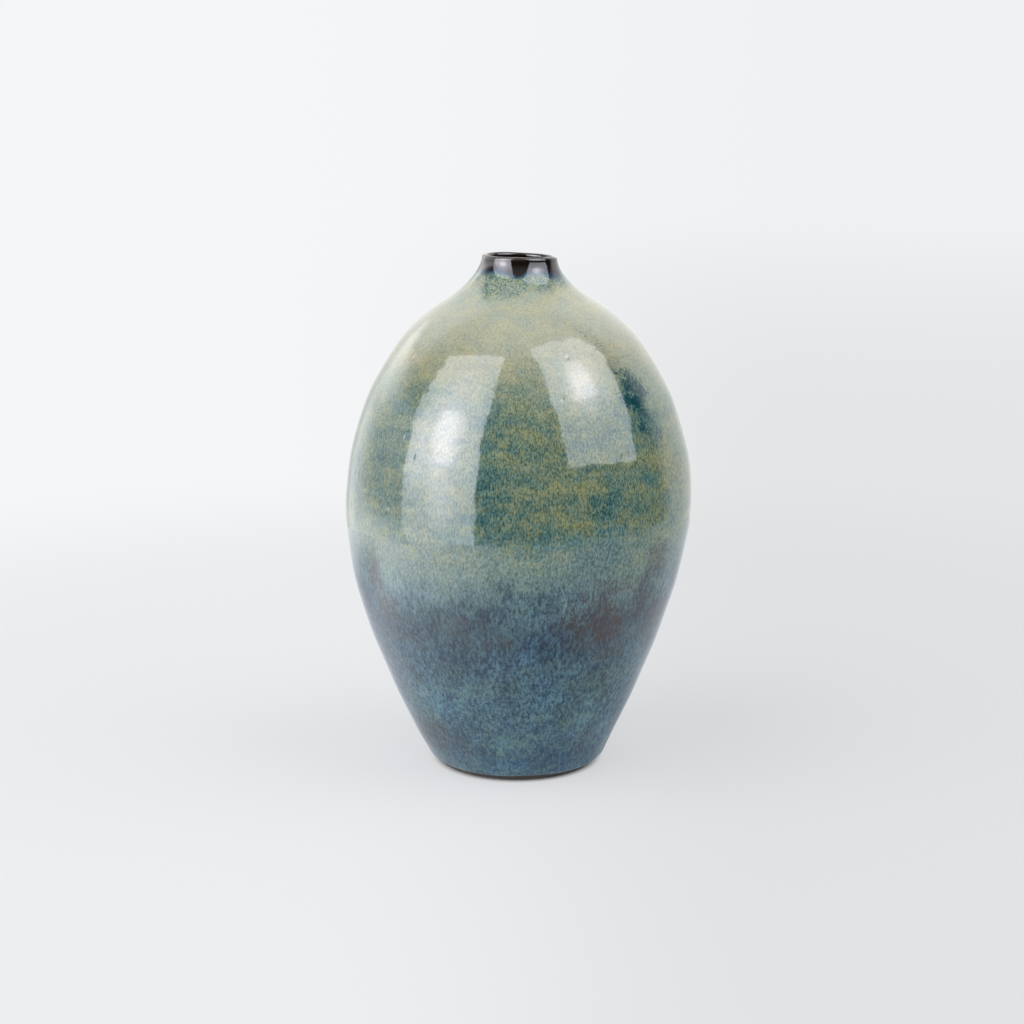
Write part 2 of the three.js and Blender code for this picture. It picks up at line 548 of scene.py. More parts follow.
def inside_liner_glaze():
    """The poured coat, which closes over the middle of the floor."""
    start = arc_at(RIM_TO_LINER_HEIGHT, inside=True)
    end = SKIN_ARC[-1] - INSIDE_ROW
    turn = angles(COLUMNS // 2)
    parts = MeshParts()
    arcs = np.repeat(steps_between(start, end, INSIDE_ROW)[:, None], len(turn), axis=1)
    around = np.broadcast_to(turn, arcs.shape)
    face = parts.add_grid(surface(arcs, around))
    parts.skin_grid(face)
    parts.cap(face[-1], parts.add_point((0, 0, FLOOR_TOP)))
    back = parts.add_grid(surface(arcs[::-1], around, GLAZE_THICKNESS))
    parts.skin_grid(back)
    parts.cap(back[0][::-1], parts.add_point((0, 0, FLOOR_TOP - GLAZE_THICKNESS)))
    parts.join_rows(back[-1], face[0])
    return parts.build("inside_liner_coat")


def foot_rows():
    """The trimmed foot's outline, from the middle of the recess out to the glaze line."""
    line = SKIN[0] - SKIN_NORMALS[0] * GLAZE_THICKNESS
    t = np.linspace(0, 1, FOOT_EDGE_POINTS)[:, None]
    knee = np.array((FOOT_CONTACT_RADIUS + FOOT_KNEE[0], FOOT_KNEE[1]))
    ring = np.array((FOOT_CONTACT_RADIUS, 0))
    edge = ring * (1 - t) ** 2 + 2 * knee * t * (1 - t) + line * t**2
    recess = np.linspace(RECESS_START, FOOT_RECESS_RADIUS - FOOT_EDGE_ROUND, RECESS_POINTS)
    recess = np.column_stack([recess, np.full(len(recess), FOOT_RECESS_DEPTH)])
    wall_top = (FOOT_RECESS_RADIUS, FOOT_RECESS_DEPTH - FOOT_EDGE_ROUND)
    wall_foot = (FOOT_RING_INNER_RADIUS - RECESS_WALL_LEAN, FOOT_EDGE_ROUND)
    wall = np.linspace(wall_top, wall_foot, RECESS_WALL_POINTS)
    flat_start = FOOT_RING_INNER_RADIUS + FOOT_EDGE_ROUND / 2
    flat = np.linspace(flat_start, FOOT_CONTACT_RADIUS, FOOT_FLAT_POINTS)
    flat = np.column_stack([flat, np.zeros(len(flat))])
    return np.vstack([recess, wall, flat[:-1], edge[:-1]])


def stoneware():
    """The clay pot: its trimmed foot in full, and the rest plain, because the glaze covers it."""
    turn = angles(COLUMNS // 2)
    foot = foot_rows()
    radius = np.repeat(foot[:, :1], len(turn), axis=1)
    height = np.repeat(foot[:, 1:], len(turn), axis=1)
    share = smooth_step(radius, FOOT_CONTACT_RADIUS, FLANK_FOOT_RADIUS)
    at_line = np.full_like(radius, FLANK_FOOT_RADIUS), np.full_like(height, GLAZE_LINE_HEIGHT)
    relief = hand_relief(*at_line, turn)
    tool = TRIM_DEPTH * np.sin(2 * math.pi * radius / TRIM_PITCH + turn)
    in_recess = 1 - smooth_step(radius, FOOT_RECESS_RADIUS - TRIM_FADES, FOOT_RECESS_RADIUS)
    radius = radius + relief * share
    height = height + tool * in_recess
    x, y = radius * np.sin(turn), -radius * np.cos(turn)
    under = np.stack(leaned(x, y, height, turn), axis=-1)

    fine = steps_between(0, FINE_CLAY_REACH, FOOT_ROW)
    hidden_start = fine[-1] + HIDDEN_CLAY_GAP
    hidden = steps_between(hidden_start, SKIN_ARC[-1] - HIDDEN_CLAY_GAP, HIDDEN_CLAY_ROW)
    arcs = np.repeat(np.concatenate([fine, hidden])[:, None], len(turn), axis=1)
    around = np.broadcast_to(turn, arcs.shape)
    depth = GLAZE_THICKNESS + CLAY_CLEARANCE * smooth_step(arcs, *CLEARANCE_BEGINS)
    covered = surface(arcs, around, depth)

    parts = MeshParts()
    rows = parts.add_grid(np.concatenate([under, covered]))
    parts.skin_grid(rows)
    parts.cap(rows[0][::-1], parts.add_point((0, 0, FOOT_RECESS_DEPTH)))
    floor = FLOOR_TOP - GLAZE_THICKNESS - CLAY_CLEARANCE
    parts.cap(rows[-1], parts.add_point((0, 0, floor)))
    return parts.build("stoneware_pot")


# ---------------------------------------------------------------- materials

class Graph:
    """Short calls that add nodes to one node tree and join them."""

    def __init__(self, tree):
        self.nodes = tree.nodes
        self.links = tree.links

    def add(self, kind, inputs=(), **settings):
        node = self.nodes.new("ShaderNode" + kind)
        for key, value in settings.items():
            setattr(node, key, value)
        for key, value in dict(inputs).items():
            self.put(node.inputs[key], value)
        return node

    def set(self, name, value):
        """Sets or feeds an input of the material's main shader."""
        self.put(self.nodes["Principled BSDF"].inputs[name], value)

    def surface(self, shader):
        """Makes a shader the material's surface."""
        self.put(self.nodes["Material Output"].inputs["Surface"], shader)

    def put(self, socket, value):
        if isinstance(value, bpy.types.NodeSocket):
            self.links.new(value, socket)
        else:
            socket.default_value = value

    def math(self, operation, *values):
        return self.add("Math", enumerate(values), operation=operation).outputs[0]

    def product(self, first, second):
        return self.math("MULTIPLY", first, second)

    def vector_math(self, operation, *values):
        """A vector node's outputs, by name."""
        return self.add("VectorMath", enumerate(values), operation=operation).outputs

    def distance(self, vector, point=(0, 0, 0)):
        return self.vector_math("DISTANCE", vector, point)["Value"]

    def place(self):
        return self.add("TexCoord").outputs["Object"]

    def parts(self, vector):
        """A vector's X, Y and Z, by name."""
        return self.add("SeparateXYZ", {"Vector": vector}).outputs

    def stretched(self, vector, stretch):
        return self.add("Mapping", {"Vector": vector, "Scale": stretch}).outputs[0]

    def noise_at(self, vector, scale, detail, roughness, seed):
        """A noise node's outputs, by name."""
        inputs = {"Vector": vector, "W": seed, "Scale": scale, "Detail": detail}
        inputs["Roughness"] = roughness
        return self.add("TexNoise", inputs, noise_dimensions="4D").outputs

    def noise(self, vector, scale, detail, roughness, seed):
        return self.noise_at(vector, scale, detail, roughness, seed)["Fac"]

    def about_zero(self, vector, stretch, scale, detail, seed):
        """Noise stretched along the axes, with its average taken off."""
        noise = self.noise(self.stretched(vector, stretch), scale, detail, 0.6, seed)
        return self.math("SUBTRACT", noise, 0.5)

    def wandering(self, vector, scale, reach, seed):
        """Places shifted by up to half a reach, so that what is drawn at them has loose edges."""
        noise = self.noise_at(vector, scale, 3.0, 0.6, seed)["Color"]
        shift = self.vector_math("MULTIPLY_ADD", noise, (reach,) * 3, (-reach / 2,) * 3)["Vector"]
        return self.vector_math("ADD", vector, shift)["Vector"]

    def shade(self, value):
        """A grey of a given brightness."""
        colour = self.add("CombineColor", {"Red": value, "Green": value, "Blue": value})
        return colour.outputs["Color"]

    def weigh(self, start, *parts):
        """A value with several others added in, each times its weight."""
        for value, weight in parts:
            start = self.math("MULTIPLY_ADD", value, weight, start)
        return start

    def fit(self, value, low, high, to_low=0.0, to_high=1.0):
        """The value eased from one range to another, and held at its ends."""
        inputs = enumerate((value, low, high, to_low, to_high))
        return self.add("MapRange", inputs, interpolation_type="SMOOTHSTEP").outputs[0]

    def ramp(self, value, stops):
        node = self.add("ValToRGB", {"Fac": value})
        elements = node.color_ramp.elements
        while len(elements) < len(stops):
            elements.new(1.0)
        for element, (position, colour) in zip(elements, stops):
            element.position = position
            element.color = (*colour, 1)
        return node.outputs["Color"]

    def by_height(self, level, stops):
        """A colour that follows stops of height in mm and colour, at a share of the pot's height."""
        return self.ramp(level, [(height * MM / HEIGHT, colour) for height, colour in stops])

    def mix(self, share, first, second, blend="MIX"):
        node = self.add("Mix", data_type="RGBA", blend_type=blend, clamp_factor=True)
        colours = [c if isinstance(c, bpy.types.NodeSocket) else (*c, 1) for c in (first, second)]
        self.put(node.inputs["Factor"], share)
        self.put(node.inputs["A"], colours[0])
        self.put(node.inputs["B"], colours[1])
        return node.outputs["Result"]

    def patch(self, vector, centre, radius):
        """1 at a point and fading to 0 at a distance from it."""
        return self.fit(self.distance(vector, centre), 0.25 * radius, radius, 1.0, 0.0)

    def bump(self, height, distance):
        return self.add("Bump", {"Height": height, "Distance": distance}).outputs["Normal"]

    def emission(self, colour, strength):
        return self.add("Emission", {"Color": colour, "Strength": strength}).outputs["Emission"]

    def mix_shaders(self, share, first, second):
        return self.add("MixShader", enumerate((share, first, second))).outputs["Shader"]


def new_material(name):
    material = bpy.data.materials.new(name)
    material.use_nodes = True
    return material, Graph(material.node_tree)


def on_pot(angle_deg, height_mm):
    """A point of the glazed skin, for placing a patch of colour."""
    arc = np.array(arc_at(height_mm * MM))
    return tuple(float(v) for v in surface(arc, np.array(math.radians(angle_deg))))


# Patches on the glaze: angle in degrees, height, radius in mm, and strength.
# Thin places, where the clay's brown shows through the blue.
BROWN_PATCHES = (
    (-51, 73, 9, 0.8),
    (-20, 70, 8, 0.35),
    (-7, 64, 6, 0.5),
    (22, 71, 14, 0.7),
    (33, 68, 16, 1.0),
    (38, 58, 12, 0.45),
    (30, 79, 12, 0.7),
    (44, 76, 14, 0.5),
    (52, 90, 13, 0.75),
    (60, 66, 13, 0.6),
    (-56, 84, 9, 0.9),
    (-44, 19, 12, 0.6),
    (14, 74, 9, 0.4),
    (-60, 16, 12, 0.6),
    (-30, 14, 10, 0.45),
    (38, 18, 9, 0.4),
    (120, 70, 16, 0.6),
    (165, 50, 12, 0.5),
    (215, 76, 15, 0.7),
    (262, 60, 12, 0.6),
)

# Thick places, where the rutile pooled to deep teal.
TEAL_PATCHES = (
    (41, 172, 13, 0.25),
    (48, 164, 8, 0.15),
    (49, 157, 8, 0.8),
    (50, 151, 10, 1.0),
    (51, 145, 9, 0.7),
    (54, 138, 10, 0.45),
    (27, 114, 11, 0.35),
    (30, 98, 14, 0.3),
    (-12, 143, 8, 0.3),
    (-9, 124, 9, 0.4),
    (-5, 117, 8, 0.3),
    (-11, 111, 8, 0.35),
    (-52, 128, 14, 0.3),
    (-47, 145, 10, 0.25),
    (128, 148, 12, 0.8),
    (160, 112, 14, 0.4),
    (200, 126, 14, 0.5),
    (250, 146, 12, 0.7),
    (290, 120, 14, 0.4),
)

# Pale places, where it crystallised tan.
TAN_PATCHES = (
    (9, 133, 13, 0.1),
    (57, 127, 15, 0.45),
    (40, 88, 14, 0.35),
    (56, 74, 14, 0.3),
    (12, 120, 9, 0.2),
    (24, 119, 10, 0.2),
    (-30, 100, 18, 0.15),
    (35, 168, 14, 0.3),
    (42, 42, 12, 0.5),
    (28, 32, 12, 0.3),
    (100, 125, 18, 0.25),
    (180, 135, 16, 0.2),
    (230, 116, 16, 0.2),
)

# Deep blue runs in the lower coat.
NAVY_PATCHES = (
    (-14, 28, 14, 0.15),
    (-31, 32, 12, 0.45),
    (8, 64, 12, 0.3),
    (12, 44, 12, 0.25),
    (-40, 44, 10, 0.25),
    (100, 40, 16, 0.35),
    (190, 64, 16, 0.35),
    (290, 36, 16, 0.35),
)


def patches(g, vector, places):
    """The strongest of several soft patches at each point."""
    result = 0.0
    for angle, height, radius, strength in places:
        one = g.patch(vector, on_pot(angle, height), radius * MM)
        result = g.math("MAXIMUM", result, g.product(one, strength))
    return result


# Near-black: the iron glaze's own colour, and also painted shade in the pinholes' pits.
IRON_BLACK_AND_PIT_SHADE = (0.006, 0.004, 0.003)
IRON_BROWN = (0.032, 0.016, 0.01)
RIM_BLUE = (0.015, 0.06, 0.11)
DEEP_TEAL = (0.002, 0.05, 0.064)
THIN_BROWN = (0.052, 0.037, 0.034)
LIP_BROWN = (0.06, 0.045, 0.036)

# The glaze between its flecks and in them, at heights in mm from the foot to the neck.
BETWEEN_FLECKS = (
    (13, (0.021, 0.07, 0.125)),
    (34, (0.018, 0.058, 0.096)),
    (68, (0.007, 0.025, 0.05)),
    (78, (0.014, 0.051, 0.08)),
    (90, (0.07, 0.132, 0.122)),
    (99, (0.105, 0.162, 0.13)),
    (110, (0.073, 0.116, 0.084)),
    (147, (0.078, 0.128, 0.094)),
    (156, (0.178, 0.22, 0.154)),
    (165, (0.262, 0.28, 0.195)),
    (176, (0.39, 0.395, 0.285)),
    (186.8, (0.415, 0.425, 0.325)),
    (191, (0.11, 0.17, 0.13)),
    (196, (0.025, 0.09, 0.09)),
)
FLECKS = (
    (13, (0.1, 0.203, 0.235)),
    (34, (0.119, 0.233, 0.262)),
    (68, (0.065, 0.139, 0.181)),
    (78, (0.12, 0.227, 0.25)),
    (90, (0.215, 0.318, 0.292)),
    (99, (0.258, 0.34, 0.278)),
    (110, (0.232, 0.297, 0.21)),
    (147, (0.25, 0.312, 0.218)),
    (156, (0.345, 0.375, 0.26)),
    (165, (0.405, 0.415, 0.29)),
    (176, (0.5, 0.51, 0.385)),
    (186.8, (0.54, 0.55, 0.43)),
    (191, (0.42, 0.48, 0.4)),
    (196, (0.28, 0.38, 0.34)),
)

# How the glaze's blue-green and tan crystals tint it, at the same kind of heights.
COOL_TINTS = (
    (13, (0.78, 0.9, 1.08)),
    (34, (0.88, 0.98, 1.14)),
    (50, (1.0, 1.08, 1.22)),
    (75, (1.0, 1.08, 1.24)),
    (92, (0.9, 0.98, 1.1)),
    (106, (0.5, 0.84, 1.14)),
    (146, (0.58, 0.84, 1.08)),
    (157, (0.76, 0.89, 1.0)),
    (178, (0.9, 0.96, 1.05)),
    (190, (0.7, 0.85, 0.97)),
)
WARM_TINTS = (
    (13, (1.22, 1.06, 0.86)),
    (34, (1.12, 1.02, 0.86)),
    (50, (1.0, 0.9, 0.76)),
    (75, (1.0, 0.9, 0.76)),
    (92, (1.1, 1.0, 0.85)),
    (106, (1.3, 1.07, 0.79)),
    (146, (1.24, 1.06, 0.84)),
    (157, (1.18, 1.05, 0.9)),
    (178, (1.05, 1.0, 0.91)),
    (190, (1.08, 1.0, 0.78)),
)

# Where the iron ran lower down the neck.
IRON_RUNS = (
    (-5, 195, 5, 1.0),
    (54, 193, 8, 1.0),
    (140, 195, 6, 0.8),
    (230, 195, 7, 1.0),
)


FLECK_CONTRAST = 3.4
GLAZE_ROUGHNESS = (0.055, 0.095)
GLAZE_RIPPLE = 0.03 * MM
GLAZE_IOR = 1.6

# Heights at which one colour gives way to the next.
LOW_COAT_SHARES = (0.36, 0.5)  # of the pot's height
RIM_BLUE_BEGINS = (0.1938, 0.1954)
IRON_BEGINS = (0.1954, 0.1965)
LIP_EDGE_BEGINS = (0.1992, 0.2002)


def glaze_colour(g, place):
    """The outer glazes' colour all over the pot, so that the coats run into each other.

    Returns the flecks too, which stand up a little from the glaze.
    """
    height = g.parts(place)["Z"]
    cloud = g.about_zero(place, (1, 1, 0.7), 60, 3, seed=3)
    level = g.math("DIVIDE", g.math("MULTIPLY_ADD", cloud, 24 * MM, height), HEIGHT)
    low = g.fit(level, *LOW_COAT_SHARES, 1.0, 0.0)
    loose = g.wandering(place, 130, 24 * MM, seed=9)

    # Flecks, short and fine on the belly and longer in the blue, in groups that follow the rings.
    fleck = g.about_zero(place, (1, 1, 0.5), 1650, 1.5, seed=1)
    long_fleck = g.about_zero(place, (1, 1, 0.35), 880, 2.5, seed=2)
    fleck = g.product(fleck, g.fit(low, 0.0, 1.0, 1.0, 0.6))
    fleck = g.math("ADD", fleck, g.product(long_fleck, g.fit(low, 0.0, 1.0, 0.35, 0.9)))
    crystal = g.about_zero(place, (1, 1, 0.45), 1400, 1.5, seed=6)
    group = g.about_zero(place, (0.8, 0.8, 1), 190, 3.5, seed=5)
    drip = g.product(g.about_zero(place, (1, 1, 0.5), 140, 4, seed=8), low)
    band = g.about_zero(place, (0.14, 0.14, 1), 150, 2, seed=4)
    teal = patches(g, loose, TEAL_PATCHES)
    navy = patches(g, loose, NAVY_PATCHES)
    low_cloud = g.product(cloud, low)

    share = g.weigh(
        0.5,
        (fleck, FLECK_CONTRAST),
        (group, 0.6),
        (drip, 1.1),
        (low_cloud, 0.5),
        (band, 0.5),
        (teal, -0.45),
        (navy, -0.3),
    )
    body = g.mix(share, g.by_height(level, BETWEEN_FLECKS), g.by_height(level, FLECKS))
    hue = g.weigh(
        0.5,
        (crystal, 2.3),
        (group, 2.2),
        (band, 1.2),
        (patches(g, loose, TAN_PATCHES), 1.0),
        (teal, -1.2),
        (navy, -1.2),
    )
    tint = g.mix(hue, g.by_height(level, COOL_TINTS), g.by_height(level, WARM_TINTS))
    body = g.mix(1.0, body, tint, "MULTIPLY")
    depth = g.weigh(1.0, (low_cloud, 0.9), (drip, 0.7))
    body = g.mix(1.0, body, g.shade(depth), "MULTIPLY")
    deep = g.weigh(teal, (fleck, -1.7), (group, -0.8))
    body = g.mix(g.fit(deep, 0.25, 0.95, 0.0, 0.97), body, DEEP_TEAL)
    thin = patches(g, loose, BROWN_PATCHES)
    thin = g.product(thin, g.fit(fleck, -0.15, 0.15, 1.0, 0.42))
    body = g.mix(thin, body, THIN_BROWN)

    runs = patches(g, place, IRON_RUNS)
    rim_height = g.weigh(height, (cloud, -7 * MM), (fleck, 4 * MM), (runs, 2.2 * MM))
    body = g.mix(g.fit(rim_height, *RIM_BLUE_BEGINS), body, RIM_BLUE)
    iron = g.mix(g.fit(fleck, 0.02, 0.3), IRON_BLACK_AND_PIT_SHADE, IRON_BROWN)
    body = g.mix(g.fit(rim_height, *IRON_BEGINS), body, iron)
    body = g.mix(g.fit(height, *LIP_EDGE_BEGINS, 0.0, 0.8), body, LIP_BROWN)
    # The pinholes are painted near-black: painted shade in their pits.
    hole = g.add("Attribute", attribute_name="pinhole").outputs["Fac"]
    return g.mix(g.fit(hole, 0.3, 0.9), body, IRON_BLACK_AND_PIT_SHADE), fleck


def glaze(name):
    """One of the glazes outside. They share one look, and keep a material each."""
    material, g = new_material(name)
    place = g.place()
    colour, flecks = glaze_colour(g, place)
    g.set("Base Color", colour)
    uneven = g.noise(place, 300, 2, 0.5, seed=7)
    g.set("Roughness", g.fit(uneven, 0.3, 0.7, *GLAZE_ROUGHNESS))
    g.set("IOR", GLAZE_IOR)
    skin = g.math("ADD", uneven, g.product(flecks, 0.1))
    g.set("Normal", g.bump(skin, GLAZE_RIPPLE))
    return material


LINER_STOPS = (
    (0.4, (0.012, 0.014, 0.012)),
    (0.62, (0.045, 0.06, 0.05)),
    (0.8, (0.11, 0.13, 0.1)),
)


def liner_material():
    material, g = new_material("liner_glaze")
    place = g.place()
    fleck = g.noise(g.stretched(place, (1, 1, 0.4)), 420, 3, 0.6, seed=21)
    cloud = g.noise(place, 60, 3, 0.5, seed=22)
    shade = g.math("ADD", g.product(fleck, 0.7), g.product(cloud, 0.5))
    g.set("Base Color", g.ramp(shade, LINER_STOPS))
    g.set("Roughness", g.fit(cloud, 0.3, 0.7, 0.12, 0.26))
    g.set("IOR", GLAZE_IOR)
    g.set("Normal", g.bump(fleck, 0.05 * MM))
    return material


CLAY_STOPS = (
    (0.3, (0.027, 0.02, 0.016)),
    (0.55, (0.046, 0.034, 0.027)),
    (0.75, (0.08, 0.06, 0.048)),
)
SAND_BROWN = (0.05, 0.033, 0.026)
GROG_TAN = (0.3, 0.22, 0.16)


def clay_material():
    material, g = new_material("bare_stoneware")
    place = g.place()
    body = g.noise(place, 120, 4, 0.6, seed=31)
    sand = g.noise(place, 1400, 2, 0.7, seed=32)
    grog = g.add("TexVoronoi", {"Vector": place, "Scale": 700}).outputs["Distance"]
    colour = g.mix(g.fit(sand, 0.55, 0.7, 0.0, 0.7), g.ramp(body, CLAY_STOPS), SAND_BROWN)
    colour = g.mix(g.fit(grog, 0.0, 0.16, 0.5, 0.0), colour, GROG_TAN)
    g.set("Base Color", colour)
    g.set("Roughness", g.fit(sand, 0.3, 0.7, 0.72, 0.92))
    g.set("Normal", g.bump(g.math("ADD", sand, g.product(grog, -0.6)), 0.12 * MM))
    return material


# ---------------------------------------------------------------- floor, light and camera

FLOOR_CENTRE = (0.03, 0, 0)
BRIGHT_FLOOR_RADIUS = 0.42
FAR = 30.0
FLOOR_GREY = (0.83, 0.835, 0.84)
BACKDROP = (0.869, 0.878, 0.893)
SHEET_GLOW = (0.91, 0.919, 0.935)
NEAR_GLOW_SHARE = 0.64
VIEWER_FEET = (0, -0.8, 0)  # the spot on the floor that the backdrop's fall-off is measured from
# The floor's glow and the backdrop dim towards the right: painted shade for the pot's soft shadow and
# the light's fall-off.
FALL_OFF = (-0.12, 0.14)  # where the backdrop starts and stops dimming towards the right
FOOT_SHADE = (0.03, 0.0345)  # the glow stops under the foot

# The pool of light on the floor, as the glaze sees it.
POOL_DIM = 0.3
POOL_BRIGHT = 3.5
POOL_CENTRE = (-0.42, -0.1, 0)
POOL_TINT = (0.97, 0.99, 1.06)

# The air around, for the glaze and for matt surfaces.
CEILING_GLOW = 0.5
ROOM_GLOW = 0.04
AMBIENT = (0.5, 0.505, 0.515)


def floor_material():
    """A pale sheet, partly lit from behind, so that shadows on it stay faint. Open from below."""
    material, g = new_material("studio_floor")
    place = g.place()
    distance = g.distance(place)
    g.set("Base Color", (*FLOOR_GREY, 1))
    g.set("Roughness", 0.9)
    g.set("Specular IOR Level", 0.0)
    sideways = g.math("DIVIDE", g.parts(place)["X"], g.distance(place, VIEWER_FEET))
    # The glow dims towards the right and near the pot: a painted shadow of the pot.
    right = g.product(g.fit(sideways, *FALL_OFF), g.fit(distance, 0.5, 3.0, 0.15, 0.045))
    near = g.fit(distance, 0.3, 0.6, 0.04, 0.0)
    strength = g.math("SUBTRACT", g.math("SUBTRACT", 1.0, right), near)
    glow = g.emission((*SHEET_GLOW, 1), strength)
    share = g.product(g.fit(distance, 0.25, 0.6, NEAR_GLOW_SHARE, 1.0), g.fit(distance, *FOOT_SHADE))
    sheet = g.mix_shaders(share, g.nodes["Principled BSDF"].outputs["BSDF"], glow)
    from_below = g.add("NewGeometry").outputs["Backfacing"]
    g.surface(g.mix_shaders(from_below, sheet, g.add("BsdfTransparent").outputs["BSDF"]))
    return material


def pool_material():
    """The light that lies on the floor, as the glaze sees it: bright on the left, by the softbox."""
    material, g = new_material("pool_of_light")
    place = g.place()
    parts = g.parts(place)
    from_axis = g.distance(place)
    left = g.fit(g.distance(place, POOL_CENTRE), 0.05, 0.57, POOL_BRIGHT, POOL_DIM)
    pot_shade = g.fit(from_axis, 0.05, 0.25, 0.62, 1.0)
    right = g.product(g.fit(parts["X"], 0.02, 0.14), g.fit(from_axis, 0.1, 0.35, 0.55, 0.25))
    in_front = g.math("ADD", g.product(left, pot_shade), right)
    leftward = g.fit(parts["X"], 0.1, -0.15)
    far = g.fit(from_axis, 0.1, 0.4)
    gain = g.fit(parts["X"], -0.14, -0.36, 0.15, 1.05)
    at_back = g.math("ADD", g.fit(leftward, 0, 1, 0.74, 0.9), g.product(far, gain))
    strength = g.mix(g.fit(parts["Y"], 0.0, 0.12), in_front, at_back)
    g.surface(g.emission((*POOL_TINT, 1), strength))
    return material


def floor_disc(name, radius):
    turn = angles(DISC_SIDES)
    edge = np.column_stack([np.cos(turn), np.sin(turn), np.zeros(DISC_SIDES)])
    mesh = bpy.data.meshes.new(name)
    mesh.from_pydata((edge * radius + FLOOR_CENTRE).tolist(), [], [list(range(DISC_SIDES))])
    return add_to_scene(name, mesh)


def only_seen_in_glaze(piece):
    piece.visible_camera = False
    piece.visible_diffuse = False
    piece.visible_shadow = False
    piece.visible_transmission = False


def studio_floor():
    """The floor for the eye, and the pool of light on it for the glaze, which sees no more of it."""
    sheet = floor_disc("floor_sheet", FAR)
    sheet.visible_glossy = False
    sheet.data.materials.append(floor_material())
    pool = floor_disc("floor_pool", BRIGHT_FLOOR_RADIUS)
    pool.data.materials.append(pool_material())
    only_seen_in_glaze(pool)


def studio_air():
    """Pale behind the pot for the eye. The glaze sees a white backdrop, a bright left wall, a ceiling
    and a dark room, and matt surfaces get an even light."""
    world = bpy.data.worlds.new("studio")
    world.use_nodes = True
    bpy.context.scene.world = world
    g = Graph(world.node_tree)
    way = g.parts(g.add("TexCoord").outputs["Generated"])
    behind = g.product(g.fit(way["Y"], 0.18, 0.5), g.fit(way["Z"], -0.1, 0.25, 1.05, 1.3))
    wall = g.product(g.fit(way["X"], -0.2, -0.6), g.fit(way["Y"], -0.35, -0.1))
    wall = g.product(wall, g.fit(way["Z"], 0.1, 0.3, 2.0, 2.9))
    wall = g.product(wall, g.fit(way["Z"], 0.33, 0.52, 1.0, 0.1))
    gap = g.product(g.fit(way["X"], -0.7, -0.92), g.fit(way["Z"], -0.06, -0.2, 0.3, -0.4))
    wall = g.product(wall, g.math("SUBTRACT", 1.0, gap))
    above = g.fit(way["Z"], 0.35, 0.95, 0.0, CEILING_GLOW)
    brightest = g.math("MAXIMUM", g.math("MAXIMUM", behind, wall), g.math("MAXIMUM", above, ROOM_GLOW))
    rays = g.add("LightPath").outputs
    shown = g.mix(rays["Is Diffuse Ray"], g.shade(brightest), AMBIENT)
    # For the eye, the backdrop dims towards the right: painted shade for the light's fall-off.
    backdrop = g.mix(g.fit(way["X"], *FALL_OFF), SHEET_GLOW, BACKDROP)
    shown = g.mix(rays["Is Camera Ray"], shown, backdrop)
    g.put(g.nodes["Background"].inputs["Color"], shown)
    world.cycles.sampling_method = "NONE"


# The softboxes: where their middles are, which way they lie, and width and height.
LEFT_PANEL = (-0.664, -0.418, 0.561)
LEFT_NORMAL = Vector((0.479, 0.861, -0.170))
LEFT_SIZE = (0.955, 1.562)
RIGHT_PANEL = (0.622, -0.188, 0.743)
RIGHT_ACROSS = Vector((-0.72, -0.70, 0.07))
RIGHT_UP = Vector((-0.35, 0.45, 0.82))
RIGHT_SIZE = (0.903, 1.013)

# On a softbox's cloth, 0, 0 is the middle and 1, 1 the upper right corner of its size. Its glow is
# the cloth's own, and its spots are a place on it, a radius and an extra glow.
LEFT_CORNERS = ((-1.1, -1), (0.82, -1), (0.93, 1), (-1.15, 1), (-1.42, 0.4))
LEFT_GLOW = 3.9
LEFT_SPOTS = (
    (0, -0.08, 0.62, 3.0),
    (0.1, -0.09, 0.25, 5.5),
    (0.15, -0.55, 0.2, 1.3),
    (-0.85, -0.2, 0.36, 1.5),
)
RIGHT_CORNERS = ((-0.88, -0.9), (1.04, -0.92), (1.1, 0.87), (-0.45, 0.84), (-0.85, 0.5))
RIGHT_GLOW = 3.1
RIGHT_SPOTS = (
    (0.15, -0.1, 0.38, 2.2),
    (0.3, -0.1, 0.21, 3.8),
    (0.8, -0.05, 0.36, 1.2),
)

# A seam is how far up the cloth it lies, and the share of the spots' glow that shows below it.
NO_SEAM = (-2, 1)
RIGHT_SEAM = (-0.23, 0.5)
SEAM_BLUR = 0.012
GLOSS_TINT = (0.94, 0.99, 1.1)
LAMP_TINT = (1.03, 0.99, 1.08)
WHITE_GAIN = 5.0

# The light that the softboxes throw on matt surfaces.
FILL_COLOUR = (0.97, 0.985, 1.0)
FILL_REACH = 2.5
LEFT_POWER = 36.0
RIGHT_POWER = 24.0


def soft_panel(name, centre, across, up, size, corners, glow, spots, seam=NO_SEAM):
    """A softbox that only the glaze sees, brighter and whiter where its lamp is behind the cloth."""
    side, rise = Vector(across).normalized(), Vector(up).normalized()

    def on_panel(a, b):
        return Vector(centre) + side * (a * size[0] / 2) + rise * (b * size[1] / 2)

    mesh = bpy.data.meshes.new(name)
    outline = [tuple(on_panel(a, b)) for a, b in corners]
    mesh.from_pydata(outline, [], [list(range(len(corners)))])
    panel = add_to_scene(name, mesh)
    material, g = new_material(name)
    place = g.place()
    climb = g.vector_math("DOT_PRODUCT", place, rise)["Value"]
    seam_height, share_below = seam
    seam_climb = on_panel(0, seam_height).dot(rise)
    through = g.fit(climb, seam_climb - SEAM_BLUR, seam_climb + SEAM_BLUR, share_below, 1.0)
    strength = glow
    for a, b, radius, extra in spots:
        spot = g.product(g.patch(place, tuple(on_panel(a, b)), radius), through)
        strength = g.math("MULTIPLY_ADD", spot, extra, strength)
    tint = g.mix(g.fit(strength, glow, glow + WHITE_GAIN), GLOSS_TINT, LAMP_TINT)
    g.surface(g.emission(tint, strength))
    panel.data.materials.append(material)
    only_seen_in_glaze(panel)


